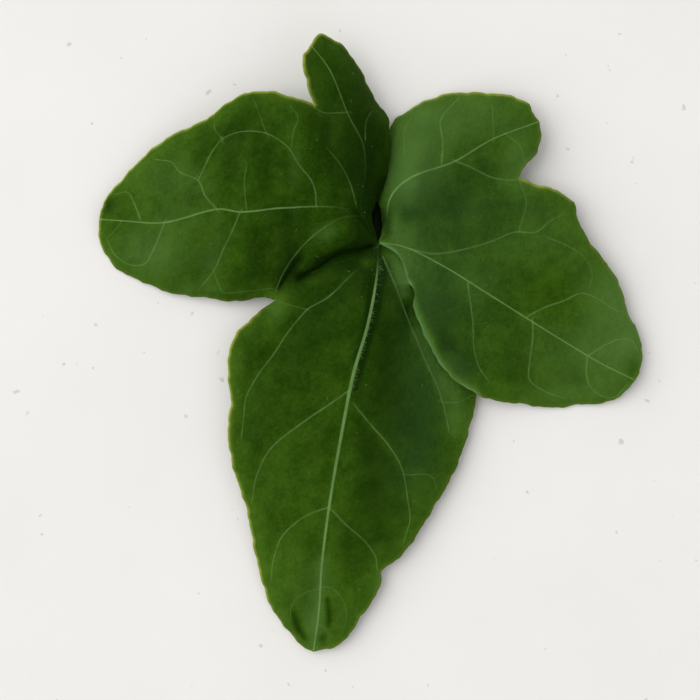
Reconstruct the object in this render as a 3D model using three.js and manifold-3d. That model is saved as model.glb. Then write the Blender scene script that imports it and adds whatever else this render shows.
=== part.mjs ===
// A five-lobed ivy leaf, picked with a stub of its stalk and lying face up on a flat surface.
// Millimetres and degrees. +Z is up, and the surface that the leaf lies on is z = 0.
// While it is being shaped, the leaf has its junction, where all the main veins meet the stalk, at x = y = 0.
// At the end the group is moved so that the origin is under the middle of the leaf.
import * as THREE from "three";
import { mergeVertices } from "three/addons/utils/BufferGeometryUtils.js";
import Module from "manifold-3d";

// ---- Driving dimensions ----
const BLADE_THICKNESS = 0.4;
const JUNCTION_HEIGHT = 2.6; // middle of the blade's thickness above the surface, where the veins meet
const STALK = {
  start: [0.1, -1.3, -0.75], // the middle of its buried end, from the junction
  end: [-0.5, 4.6, -1.8], // the middle of its cut end, from the junction
  topDiameter: 1.7,
  cutDiameter: 1.4,
  droop: 0.3, // how far its middle hangs below the straight line between its ends
  sides: 14,
};
// The main veins stand out of the underside as ribs that fade towards the lobe's tip.
const RIB = { halfWidth: 0.75, depth: 0.5, tipShare: 0.25 };
const ROWS = 6; // mesh rows from a rib out to the lobe's edge

// The right basal lobe is tucked under the left one. Along these points of the left one's clockwise outline,
// counted from 0, its margin keeps to that lobe's margin, this far under it.
const TUCK = { first: 4, last: 6, overlap: 0.25 };
const TUCKED = "tucked";

// Heights are of the middle of the blade above the surface. Each "shape" list runs outwards from the junction.
// An outline point is [share of the lobe's length, share of that side's reach]; a height is [share of the
// way, millimetres]; a vein point is [share of the length, millimetres sideways], positive anticlockwise.
// A margin starts at the notch beside it and ends at the lobe's tip. A side's "roll" is how late it bends down on
// the way from vein to margin, and its "belly" is how much higher it is halfway across, at shares of the length.
const ROLL = 1.5;
const LOBES = [
  {
    name: "left basal",
    heading: 109,
    length: 22.6,
    tipHeight: 4.3,
    columns: 16,
    vein: [[0.05, 0.25], [0.1, 0.45], [0.17, 0.5], [0.25, -0.15], [0.33, -1.0], [0.46, -1.8], [0.62, -1.3],
      [0.85, -1.0]],
    veinHeights: [[0.2, 3.4], [0.45, 4.8], [0.65, 5.4], [0.85, 5.1]],
    clockwise: {
      reach: 5.4,
      outline: [[0.06, 0.01], [0.12, 0.03], [0.189, 0.2], [0.227, 0.37], [0.31, 0.62], [0.4, 0.8], [0.51, 0.97],
        [0.59, 1.0], [0.64, 0.9], [0.79, 0.81], [0.87, 0.74], [0.97, 0.57], [1.01, 0.41], [1.04, 0.24]],
      heights: [[0.1, 2.6], [0.25, 2.5], [0.4, 2.3], [0.52, 2.3], [0.65, 2.6], [0.8, 3.1], [0.92, 3.8]],
      roll: 1.2,
    },
    anticlockwise: {
      reach: 2.0,
      outline: [[0.8, 0.89], [0.89, 0.79], [0.96, 0.58], [0.98, 0.27]],
      heights: [[0.3, 4.9], [0.7, 5.0]],
    },
  },
  {
    name: "left",
    heading: 175,
    length: 30.9,
    tipHeight: 1.2,
    columns: 22,
    vein: [[0.055, -1.55], [0.1, -2.8], [0.14, -3.35], [0.33, -2.85], [0.49, -1.9], [0.57, -2.0], [0.76, -0.1],
      [0.92, 0]],
    veinHeights: [[0.1, 2.9], [0.25, 3.8], [0.4, 4.5], [0.55, 4.5], [0.7, 3.8], [0.85, 2.6]],
    clockwise: {
      reach: 15.4,
      outline: [[0.35, 0.97], [0.44, 1.0], [0.53, 0.96], [0.58, 0.89], [0.65, 0.77], [0.76, 0.65],
        [0.84, 0.52], [0.94, 0.28], [0.99, 0.13]],
      heights: [[0.1, 3.7], [0.3, 2.8], [0.5, 1.9], [0.75, 1.1], [0.9, 0.9]],
    },
    anticlockwise: {
      reach: 7.7,
      outline: [[0.4, 0.91], [0.49, 1.0], [0.6, 0.98], [0.72, 0.96], [0.83, 0.83], [0.92, 0.69],
        [0.97, 0.49], [1.0, 0.23]],
      heights: [[0.2, 1.2], [0.4, 0.8], [0.6, 0.4], [0.8, 0.25], [0.93, 0.5]],
    },
  },
  {
    name: "middle",
    heading: 261,
    length: 45.7,
    tipHeight: 0.8,
    columns: 28,
    vein: [[0.07, 0.4], [0.2, 0.25], [0.32, -0.45], [0.46, -0.7], [0.63, -0.8], [0.78, -0.6], [0.9, -0.1]],
    veinHeights: [[0.1, 3.1], [0.25, 3.3], [0.45, 3.0], [0.7, 2.2], [0.9, 1.3]],
    clockwise: {
      reach: 14.2,
      outline: [[0.21, 0.83], [0.28, 0.99], [0.35, 1.0], [0.44, 0.93], [0.49, 0.93], [0.58, 0.85],
        [0.68, 0.69], [0.8, 0.55], [0.91, 0.38], [0.96, 0.22], [0.99, 0.1]],
      heights: [[0.15, 1.8], [0.35, 1.7], [0.55, 1.3], [0.75, 0.7], [0.9, 0.3]],
      roll: 2.5,
    },
    anticlockwise: {
      reach: 13.2,
      outline: [[0.105, 0.33], [0.145, 0.48], [0.185, 0.66], [0.225, 0.86],
        [0.3, 1.0], [0.39, 1.0], [0.51, 0.93], [0.61, 0.8], [0.73, 0.61], [0.78, 0.46], [0.82, 0.46],
        [0.9, 0.34], [0.97, 0.21]],
      heights: [[0.02, 1.6], [0.08, 1.1], [0.2, 1.0], [0.35, 1.2], [0.5, 1.4], [0.65, 1.5], [0.8, 1.4],
        [0.92, 1.2]],
      belly: [[0.15, -0.3], [0.4, -0.6], [0.7, -0.3]],
    },
  },
  {
    name: "right",
    heading: 332,
    length: 32.1,
    tipHeight: 1.5,
    columns: 24,
    vein: [[0.08, 0.9], [0.23, 1.1], [0.43, 0.7], [0.7, 0.1], [0.87, -0.15]],
    veinHeights: [[0.1, 2.8], [0.25, 2.5], [0.4, 2.2], [0.55, 2.0], [0.75, 1.9], [0.9, 1.7]],
    clockwise: {
      reach: 9.4,
      outline: [[0.182, 0.28], [0.21, 0.46], [0.29, 0.7], [0.37, 0.88], [0.44, 0.98],
        [0.58, 1.0], [0.7, 0.86], [0.8, 0.73], [0.88, 0.54], [0.95, 0.39], [0.99, 0.18]],
      heights: [[0.05, 2.9], [0.2, 3.1], [0.35, 2.6], [0.45, 1.9], [0.58, 1.0], [0.7, 0.4], [0.82, 0.4],
        [0.93, 0.9]],
    },
    anticlockwise: {
      reach: 14.3,
      outline: [[0.37, 0.96], [0.46, 1.0], [0.53, 0.97], [0.57, 0.87], [0.64, 0.77], [0.74, 0.67],
        [0.81, 0.57], [0.86, 0.45], [0.95, 0.3], [0.98, 0.2], [1.0, 0.09]],
      heights: [[0.2, 2.2], [0.4, 2.0], [0.6, 1.7], [0.8, 1.3], [0.92, 1.3]],
    },
  },
  {
    name: "right basal",
    heading: 37,
    length: 22.1,
    tipHeight: 2.5,
    columns: 18,
    vein: [[0.05, 0.45], [0.1, 1.45], [0.17, 2.95], [0.25, 3.5], [0.37, 3.2], [0.54, 2.05], [0.76, 1.5]],
    veinHeights: [[0.15, 3.1], [0.3, 3.5], [0.5, 3.4], [0.75, 3.0]],
    clockwise: {
      reach: 3.5,
      outline: [[0.81, 0.83], [0.9, 0.72], [0.96, 0.41]],
      heights: [[0.3, 2.5], [0.7, 2.4]],
    },
    anticlockwise: {
      reach: 9.7,
      outline: [[0.042, 0.058], [0.083, 0.155], [0.108, 0.267], [0.12, 0.37], [0.15, 0.45], TUCKED,
        [0.44, 1.01], [0.5, 1.01], [0.6, 0.99], [0.74, 0.88], [0.87, 0.65],
        [0.97, 0.42], [1.01, 0.24], [1.0, 0.1]],
      heights: [[0.08, 2.0], [0.2, 0.9], [0.3, 0.6], [0.42, 0.5], [0.55, 0.4], [0.68, 0.8], [0.85, 2.0]],
    },
  },
];

// The notch between each lobe and the next one, going anticlockwise. The blade is whole from the junction to
// the notch, along a line that bows sideways and sags below the straight line between its ends.
const NOTCHES = [
  { bearing: 115, distance: 16.5, height: 4.2, bow: 0.9, sag: 0.3, columns: 10 },
  { bearing: 209, distance: 12.8, height: 1.7, bow: -1.0, sag: 0.2, columns: 7 },
  { bearing: 307, distance: 5.5, height: 2.2, bow: 0.9, sag: 0.1, columns: 4 },
  { bearing: 25, distance: 17.0, height: 2.4, bow: 0, sag: 0.3, columns: 11 },
];

const junction = new THREE.Vector3(0, 0, JUNCTION_HEIGHT);

function towards(degrees) {
  const a = THREE.MathUtils.degToRad(degrees);
  return new THREE.Vector3(Math.cos(a), Math.sin(a), 0);
}

// The point of a lobe at a distance along its heading and a distance sideways, positive anticlockwise.
function inLobe(lobe, along, sideways) {
  const ahead = towards(lobe.heading);
  const across = towards(lobe.heading + 90);
  return ahead.multiplyScalar(along).addScaledVector(across, sideways);
}

// A smooth curve through [share, value] points that start at [0, first] and end at [1, last].
function profile(first, points, last) {
  const p = [[0, first], ...points, [1, last]];
  const slope = p.map((_, i) => {
    const a = p[Math.max(i - 1, 0)];
    const b = p[Math.min(i + 1, p.length - 1)];
    return (b[1] - a[1]) / (b[0] - a[0]);
  });
  return (share) => {
    let i = 0;
    while (i < p.length - 2 && share > p[i + 1][0]) i++;
    const span = p[i + 1][0] - p[i][0];
    const t = (share - p[i][0]) / span;
    const [t2, t3] = [t * t, t * t * t];
    return (
      (2 * t3 - 3 * t2 + 1) * p[i][1] +
      (t3 - 2 * t2 + t) * span * slope[i] +
      (3 * t2 - 2 * t3) * p[i + 1][1] +
      (t3 - t2) * span * slope[i + 1]
    );
  };
}

// Evenly spaced points along a smooth flat curve, lifted to the heights of a profile.
function lifted(points, count, height) {
  const spaced = new THREE.CatmullRomCurve3(points).getSpacedPoints(count);
  return spaced.map((p, i) => new THREE.Vector3(p.x, p.y, height(i / count)));
}

function veinLine(lobe) {
  const points = lobe.vein.map(([share, sideways]) => inLobe(lobe, share * lobe.length, sideways));
  const height = profile(JUNCTION_HEIGHT, lobe.veinHeights, lobe.tipHeight);
  return lifted([new THREE.Vector3(), ...points, inLobe(lobe, lobe.length, 0)], lobe.columns, height);
}

function notchPoint(notch) {
  return towards(notch.bearing).multiplyScalar(notch.distance);
}

// From the junction to the notch.
function notchLine(notch) {
  const bowed = notchPoint(notch).multiplyScalar(0.45).addScaledVector(towards(notch.bearing + 90), notch.bow);
  const middle = (JUNCTION_HEIGHT + notch.height) / 2 - notch.sag;
  const height = profile(JUNCTION_HEIGHT, [[0.5, middle]], notch.height);
  return lifted([new THREE.Vector3(), bowed, notchPoint(notch)], notch.columns, height);
}

function tuckedPoints() {
  const over = LOBES[0];
  return over.clockwise.outline
    .slice(TUCK.first, TUCK.last + 1)
    .map(([along, out]) => inLobe(over, along * over.length, TUCK.overlap - out * over.clockwise.reach));
}

// The edge of one side of a lobe, from the junction to the tip: first the line to the notch, if there is one.
function edgeLine(lobe, side, sign, notch) {
  const outline = side.outline.flatMap((point) =>
    point === TUCKED ? tuckedPoints() : [inLobe(lobe, point[0] * lobe.length, sign * point[1] * side.reach)],
  );
  const start = notch ? notchPoint(notch) : new THREE.Vector3();
  const height = profile(notch ? notch.height : JUNCTION_HEIGHT, side.heights, lobe.tipHeight);
  const inner = notch ? notchLine(notch) : [junction.clone()];
  const free = lifted([start, ...outline, inLobe(lobe, lobe.length, 0)], lobe.columns - inner.length + 1, height);
  return [...inner, ...free.slice(1)];
}

// The shares of the way from vein to edge at which a column has its points: two across half of the rib, and
// the rest evenly spaced to the edge.
function rowShares(width, ribWidth) {
  const rib = width > 0 ? Math.min(ribWidth / width, 0.3) : 0.3;
  const rest = Array.from({ length: ROWS + 1 }, (_, row) => THREE.MathUtils.lerp(rib, 1, row / ROWS));
  return [0, rib * 0.55, ...rest];
}

// Points across one half of a lobe, from its vein to its edge, for each column. Inside the notch the
// cross-section levels out towards its neighbour, and further out it rolls over towards the margin. Each
// point's rib is how much further down the underside is there.
function halfLobe(vein, edge, innerColumns, side) {
  const last = vein.length - 1;
  const belly = profile(0, side.belly ?? [], 0);
  return vein.map((v, column) => {
    const fade = THREE.MathUtils.lerp(1, RIB.tipShare, column / last);
    const width = v.distanceTo(edge[column]);
    const outside = THREE.MathUtils.smoothstep(column, innerColumns - 2, innerColumns + 3);
    return rowShares(width, RIB.halfWidth * fade).map((w, row) => {
      const level = w * w * (3 - 2 * w);
      const rolled = Math.pow(w, side.roll ?? ROLL);
      const p = v.clone().lerp(edge[column], w);
      p.z = THREE.MathUtils.lerp(v.z, edge[column].z, THREE.MathUtils.lerp(level, rolled, outside));
      p.z += 4 * w * (1 - w) * belly(column / last);
      const ribShare = width > 0 && column < last ? [1, 0.7][row] ?? 0 : Number(column === 0);
      return { p, rib: RIB.depth * fade * ribShare };
    });
  });
}

// The two triangles of each cell of a grid, facing up when turned is false.
function gridTriangles(grid, turned) {
  const corners = [];
  for (let c = 0; c < grid.length - 1; c++) {
    for (let r = 0; r < grid[c].length - 1; r++) {
      const [a, b, d, e] = [grid[c][r], grid[c + 1][r], grid[c + 1][r + 1], grid[c][r + 1]];
      corners.push(...(turned ? [a, d, b, a, e, d] : [a, b, d, a, d, e]));
    }
  }
  return corners;
}

// The middle surface of the blade, as one mesh with shared vertices.
function middleSurface() {
  const corners = LOBES.flatMap((lobe, i) => {
    const vein = veinLine(lobe);
    return [
      [lobe.clockwise, -1, NOTCHES[i - 1]],
      [lobe.anticlockwise, 1, NOTCHES[i]],
    ].flatMap(([side, sign, notch]) => {
      const edge = edgeLine(lobe, side, sign, notch);
      return gridTriangles(halfLobe(vein, edge, notch ? notch.columns : 0, side), sign < 0);
    });
  });
  const geometry = new THREE.BufferGeometry().setFromPoints(corners.map((corner) => corner.p));
  const ribs = new Float32Array(corners.map((corner) => corner.rib));
  geometry.setAttribute("rib", new THREE.BufferAttribute(ribs, 1));
  const merged = mergeVertices(geometry, 1e-3);
  const index = [];
  for (let t = 0; t < merged.index.count; t += 3) {
    const [a, b, c] = [0, 1, 2].map((k) => merged.index.getX(t + k));
    if (a !== b && b !== c && c !== a) index.push(a, b, c);
  }
  merged.setIndex(index);
  merged.computeVertexNormals();
  return merged;
}

// The middle surface thickened to a closed skin: an upper side, an underside and the rim between them. The
// folds are so tight around the junction that the blade is thickened straight up and down there.
function thickened(middle, thickness) {
  const { position, normal, rib } = middle.attributes;
  const count = position.count;
  const points = new Float32Array(count * 6);
  const up = new THREE.Vector3(0, 0, 1);
  const [p, n] = [new THREE.Vector3(), new THREE.Vector3()];
  for (let i = 0; i < count; i++) {
    p.fromBufferAttribute(position, i);
    n.fromBufferAttribute(normal, i);
    n.lerp(up, 1 - THREE.MathUtils.smoothstep(Math.hypot(p.x, p.y), 4, 9)).normalize();
    for (const [offset, at] of [[thickness / 2, i], [-thickness / 2 - rib.getX(i), count + i]]) {
      p.clone().addScaledVector(n, offset).toArray(points, 3 * at);
    }
  }
  const upper = Array.from(middle.index.array);
  const index = [...upper];
  const edges = new Map();
  for (let t = 0; t < upper.length; t += 3) {
    const [a, b, c] = upper.slice(t, t + 3);
    index.push(count + a, count + c, count + b);
    for (const [from, to] of [[a, b], [b, c], [c, a]]) {
      if (!edges.delete(`${to}-${from}`)) edges.set(`${from}-${to}`, [from, to]);
    }
  }
  for (const [from, to] of edges.values()) {
    index.push(from, count + from, count + to, from, count + to, to);
  }
  return { points, index: new Uint32Array(index) };
}

// The stub of the stalk: a tapered, slightly bent tube from under the junction to its cut end.
function stalkMesh() {
  const start = new THREE.Vector3(...STALK.start).add(junction);
  const end = new THREE.Vector3(...STALK.end).add(junction);
  const down = end.clone().sub(start).normalize();
  const side = new THREE.Vector3(0, 0, 1).cross(down).normalize();
  const across = new THREE.Vector3().crossVectors(down, side);
  const rings = 5;
  const points = [];
  const index = [];
  for (let ring = 0; ring <= rings; ring++) {
    const share = ring / rings;
    const centre = start.clone().lerp(end, share);
    centre.z -= 4 * STALK.droop * share * (1 - share);
    const radius = THREE.MathUtils.lerp(STALK.topDiameter, STALK.cutDiameter, share) / 2;
    for (let k = 0; k < STALK.sides; k++) {
      const a = (2 * Math.PI * k) / STALK.sides;
      const p = centre.clone().addScaledVector(side, radius * Math.cos(a));
      points.push(...p.addScaledVector(across, radius * Math.sin(a)).toArray());
    }
  }
  for (let ring = 0; ring < rings; ring++) {
    for (let k = 0; k < STALK.sides; k++) {
      const next = (k + 1) % STALK.sides;
      const [a, b] = [ring * STALK.sides + k, ring * STALK.sides + next];
      const [c, d] = [a + STALK.sides, b + STALK.sides];
      index.push(a, b, d, a, d, c);
    }
  }
  const last = rings * STALK.sides;
  for (let k = 1; k < STALK.sides - 1; k++) {
    index.push(0, k + 1, k, last, last + k, last + k + 1);
  }
  return { points: new Float32Array(points), index: new Uint32Array(index) };
}

const wasm = await Module();
wasm.setup();

function solid({ points, index }) {
  return new wasm.Manifold(new wasm.Mesh({ numProp: 3, vertProperties: points, triVerts: index }));
}

function geometryOf(manifold) {
  const mesh = manifold.getMesh();
  return new THREE.BufferGeometry()
    .setAttribute("position", new THREE.BufferAttribute(mesh.vertProperties, 3))
    .setIndex(new THREE.BufferAttribute(mesh.triVerts, 1));
}

const blade = solid(thickened(middleSurface(), BLADE_THICKNESS));
const leafGeometry = geometryOf(blade.add(solid(stalkMesh())));
leafGeometry.computeVertexNormals();
leafGeometry.computeBoundingBox();

const leaf = new THREE.Mesh(
  leafGeometry,
  new THREE.MeshStandardMaterial({ color: 0x2f5a14, roughness: 0.45, metalness: 0 }),
);
leaf.name = "leaf";

// The origin goes under the middle of the leaf, on the surface that its lowest point touches.
const { min, max } = leafGeometry.boundingBox;
leaf.position.set(-(min.x + max.x) / 2, -(min.y + max.y) / 2, -min.z);

const group = new THREE.Group();
group.add(leaf);

export default group;
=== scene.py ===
"""The looks of a picked ivy leaf that lies face up on a white surface, built around its CAD part.

Lengths are in millimetres, and places are from the junction, where all the main veins meet the stalk. Only
mesh_object() moves them to the row frame and turns them into metres. Seen from above, +X is to the right and
+Y is up. Heights are above the surface that the leaf lies on.
"""

import math

import bpy
import numpy as np
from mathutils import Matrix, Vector
from mathutils.kdtree import KDTree


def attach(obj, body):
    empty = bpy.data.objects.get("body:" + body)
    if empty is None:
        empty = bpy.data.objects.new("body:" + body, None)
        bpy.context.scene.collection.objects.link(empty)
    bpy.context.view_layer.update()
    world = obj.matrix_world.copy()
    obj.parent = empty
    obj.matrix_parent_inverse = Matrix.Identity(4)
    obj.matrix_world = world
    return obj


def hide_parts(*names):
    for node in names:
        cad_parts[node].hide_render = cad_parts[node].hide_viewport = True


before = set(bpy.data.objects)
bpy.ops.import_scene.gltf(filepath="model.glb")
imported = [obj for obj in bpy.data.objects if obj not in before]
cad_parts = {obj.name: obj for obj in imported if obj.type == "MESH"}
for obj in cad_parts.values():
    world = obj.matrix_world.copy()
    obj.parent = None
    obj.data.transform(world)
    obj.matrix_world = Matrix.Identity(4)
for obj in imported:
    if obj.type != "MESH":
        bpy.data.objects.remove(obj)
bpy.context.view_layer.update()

MM = 0.001
JUNCTION = np.array([0.963, 11.213, 2.6])  # where it is in the row frame, before the drop
DROP = 0.08  # how far the whole leaf comes down to touch the surface
THICKNESS = 0.3
MARGIN_THICKNESS = 0.16
MARGIN_TAPER = 1.2  # how far in from the margin the blade has its full thickness
MARGIN_BULGE = 0.06  # how far the rounded margin stands out
SEED = 7

CELL = 0.27  # size of the blade's mesh cells
COLUMNS_PER_CELL = 1.06  # along a lobe
ROWS_PER_CELL = 0.9  # across it
FEWEST_ROWS = 8
CROWDING = 1.15  # how much the rows crowd towards the vein
SAME_PLACE = 1e-4  # points nearer than about this are one
VEIN_COLUMNS = 200  # steps along a main vein where it is only measured from
LINE_STEP = 0.1

# The lobes of one side never lie over each other, so veins and patches are kept by side.
WEST, EAST = "west", "east"

# An outline point is (share of the lobe's length, share of that side's reach), from the notch to the tip. A
# height is (share of the way, height of the blade's middle). A vein point is (share of the length, distance
# sideways), positive anticlockwise. cw and ccw are a lobe's two sides. The higher a side's roll, the flatter
# it stays until near its edge. A belly lifts or sinks its middle.
LOBES = [
    dict(  # left basal
        side=WEST, heading=109, length=22.6, tip_height=4.3,
        vein=[(0.05, 0.25), (0.1, 0.45), (0.17, 0.5), (0.25, -0.15), (0.33, -1), (0.46, -1.8),
              (0.62, -1.3), (0.85, -1)],
        vein_heights=[(0.2, 3.4), (0.45, 4.8), (0.65, 5.4), (0.85, 5.1)],
        cw=dict(
            reach=5.4,
            outline=[(0.06, 0.01), (0.12, 0.03), (0.189, 0.2), (0.227, 0.37), (0.31, 0.62), (0.4, 0.8),
                     (0.51, 0.97), (0.59, 1), (0.64, 0.9), (0.79, 0.81), (0.87, 0.74), (0.97, 0.57),
                     (1.01, 0.41), (1.04, 0.24)],
            heights=[(0.1, 2.6), (0.25, 2.5), (0.4, 2.3), (0.52, 2.3), (0.65, 2.6), (0.8, 3.1),
                     (0.92, 3.8)],
            roll=1.2,
        ),
        ccw=dict(
            reach=2,
            outline=[(0.8, 0.89), (0.89, 0.79), (0.96, 0.58), (0.98, 0.27)],
            heights=[(0.3, 4.9), (0.7, 5)],
        ),
    ),
    dict(  # left
        side=WEST, heading=175, length=30.9, tip_height=1.2,
        vein=[(0.055, -1.55), (0.1, -2.8), (0.14, -3.35), (0.33, -2.85), (0.49, -1.9), (0.57, -2),
              (0.76, -0.1), (0.92, 0)],
        vein_heights=[(0.1, 2.9), (0.25, 3.8), (0.4, 4.5), (0.55, 4.5), (0.7, 3.8), (0.85, 2.6)],
        cw=dict(
            reach=15.4,
            outline=[(0.35, 0.97), (0.44, 1), (0.53, 0.96), (0.58, 0.89), (0.65, 0.77), (0.76, 0.65),
                     (0.84, 0.52), (0.94, 0.28), (0.99, 0.13)],
            heights=[(0.1, 3.7), (0.3, 2.8), (0.5, 1.9), (0.75, 1.1), (0.9, 0.9)],
        ),
        ccw=dict(
            reach=7.7,
            outline=[(0.4, 0.91), (0.49, 1), (0.6, 0.98), (0.72, 0.96), (0.83, 0.83), (0.92, 0.69),
                     (0.97, 0.49), (1, 0.23)],
            heights=[(0.2, 1.2), (0.4, 0.8), (0.6, 0.4), (0.8, 0.25), (0.93, 0.5)],
        ),
    ),
    dict(  # middle
        side=WEST, heading=261, length=45.7, tip_height=0.8,
        vein=[(0.07, 0.4), (0.2, 0.25), (0.32, -0.45), (0.46, -0.7), (0.63, -0.8), (0.78, -0.6),
              (0.9, -0.1)],
        vein_heights=[(0.1, 3.1), (0.25, 3.3), (0.45, 3), (0.7, 2.2), (0.9, 1.3)],
        cw=dict(
            reach=14.2,
            outline=[(0.21, 0.83), (0.28, 0.99), (0.35, 1), (0.44, 0.93), (0.49, 0.93), (0.58, 0.85),
                     (0.68, 0.69), (0.8, 0.55), (0.91, 0.38), (0.96, 0.22), (0.99, 0.1)],
            heights=[(0.15, 1.8), (0.35, 1.7), (0.55, 1.3), (0.75, 0.7), (0.9, 0.3)],
            roll=2.5,
        ),
        ccw=dict(
            reach=13.2,
            outline=[(0.092, 0.32), (0.105, 0.38), (0.124, 0.445), (0.145, 0.53), (0.185, 0.67),
                     (0.225, 0.86), (0.3, 1), (0.39, 1), (0.51, 0.93), (0.61, 0.8), (0.73, 0.61),
                     (0.78, 0.46), (0.82, 0.46), (0.9, 0.34), (0.97, 0.21)],
            heights=[(0.02, 1.6), (0.08, 1.1), (0.2, 1), (0.35, 1.2), (0.5, 1.4), (0.65, 1.5), (0.8, 1.4),
                     (0.92, 1.2)],
            belly=[(0.15, -0.3), (0.4, -0.6), (0.7, -0.3)],
        ),
    ),
    dict(  # right
        side=EAST, heading=332, length=32.1, tip_height=1.5,
        vein=[(0.08, 0.9), (0.23, 1.1), (0.43, 0.7), (0.7, 0.1), (0.87, -0.15)],
        vein_heights=[(0.1, 2.8), (0.25, 2.5), (0.4, 2.2), (0.55, 2), (0.75, 1.9), (0.9, 1.7)],
        cw=dict(
            reach=9.4,
            outline=[(0.173, 0.26), (0.192, 0.33), (0.21, 0.46), (0.29, 0.7), (0.37, 0.88), (0.44, 0.98),
                     (0.58, 1), (0.7, 0.86), (0.8, 0.73), (0.88, 0.54), (0.95, 0.39), (0.99, 0.18)],
            heights=[(0.05, 2.9), (0.2, 3.1), (0.35, 2.6), (0.45, 1.9), (0.58, 1), (0.7, 0.4), (0.82, 0.4),
                     (0.93, 0.9)],
        ),
        ccw=dict(
            reach=14.3,
            outline=[(0.37, 0.96), (0.46, 1), (0.53, 0.97), (0.57, 0.87), (0.64, 0.77), (0.74, 0.67),
                     (0.81, 0.57), (0.86, 0.45), (0.95, 0.3), (0.98, 0.2), (1, 0.09)],
            heights=[(0.2, 2.2), (0.4, 2), (0.6, 1.7), (0.8, 1.3), (0.92, 1.3)],
        ),
    ),
    dict(  # right basal
        side=EAST, heading=37, length=22.1, tip_height=2.5,
        vein=[(0.05, 0.45), (0.1, 1.45), (0.17, 2.95), (0.25, 3.5), (0.37, 3.2), (0.54, 2.05), (0.76, 1.5)],
        vein_heights=[(0.15, 3.1), (0.3, 3.5), (0.5, 3.4), (0.75, 3)],
        cw=dict(
            reach=3.5,
            outline=[(0.81, 0.83), (0.9, 0.72), (0.96, 0.41)],
            heights=[(0.3, 2.5), (0.7, 2.4)],
        ),
        ccw=dict(
            reach=9.7,
            outline=[(0.042, 0.058), (0.083, 0.155), (0.108, 0.267), (0.12, 0.37), (0.15, 0.45),
                     (0.22, 0.57), (0.31, 0.77), (0.38, 0.95), (0.44, 1.01), (0.5, 1.01), (0.6, 0.99),
                     (0.74, 0.88), (0.87, 0.65), (0.97, 0.42), (1.01, 0.24), (1, 0.1)],
            heights=[(0.08, 2), (0.2, 0.9), (0.3, 0.6), (0.42, 0.5), (0.55, 0.4), (0.68, 0.8),
                     (0.85, 2)],
        ),
    ),
]

ROLL = 1.5  # of a side that states none
MIDDLE = 2  # the number of the middle lobe

# The notch between each lobe and the next one, going anticlockwise: (bearing, distance, height, bow, sag).
# The line to it from the junction is bowed at this share of the way.
BOWED_AT = 0.45
NOTCHES = [
    (115, 16.5, 4.2, 0.9, 0.3),
    (209, 12.8, 1.7, -1, 0.2),
    (307, 5.5, 2.2, 0.9, 0.1),
    (25, 17, 2.4, 0, 0.3),
]

# Where a side of a lobe starts to be free, as a share of the way to its notch, and how many columns beyond
# the notch it is.
FREED = (0.8, 20)
# The margins' small uneven teeth, as waves of (pitch, size), and how far from an end they are full.
TEETH = [(1.1, 0.022), (1.9, 0.035), (3.1, 0.05)]
TEETH_FADE = 1.5

# Half-widths of the veins at these shares of their length. The main ones are in the order of LOBES.
WIDTHS_AT = (0, 0.33, 1)
MAIN_WIDTHS = [(0.08, 0.08, 0.05), (0.08, 0.1, 0.07), (0.1, 0.17, 0.09), (0.06, 0.09, 0.07),
               (0.06, 0.09, 0.06)]
SECOND_WIDTH = (0.1, 0.09, 0.05)
THIRD_WIDTH = (0.07, 0.06, 0.04)
# For each main vein, how far from the junction it starts to show, shows most, and how much that is.
MAIN_SHOWN = [(4, 30, 0.9), (4.5, 11, 0.78), (0.8, 6, 1), (-1.5, 2.5, 0.75), (2.5, 5.5, 0.8)]
SIDE_SHOWN = (2.5, 8)  # the same two distances for the side veins left of the junction
SIDE_SHOWN_X = (-0.8, 0.5)  # between these they go over to showing everywhere
# For each order of vein, the distance, and the same in half-widths with a sign.
VEIN_MEASURES = ("main_far", "main_across", "second_far", "second_across", "third_far", "third_across")

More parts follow.
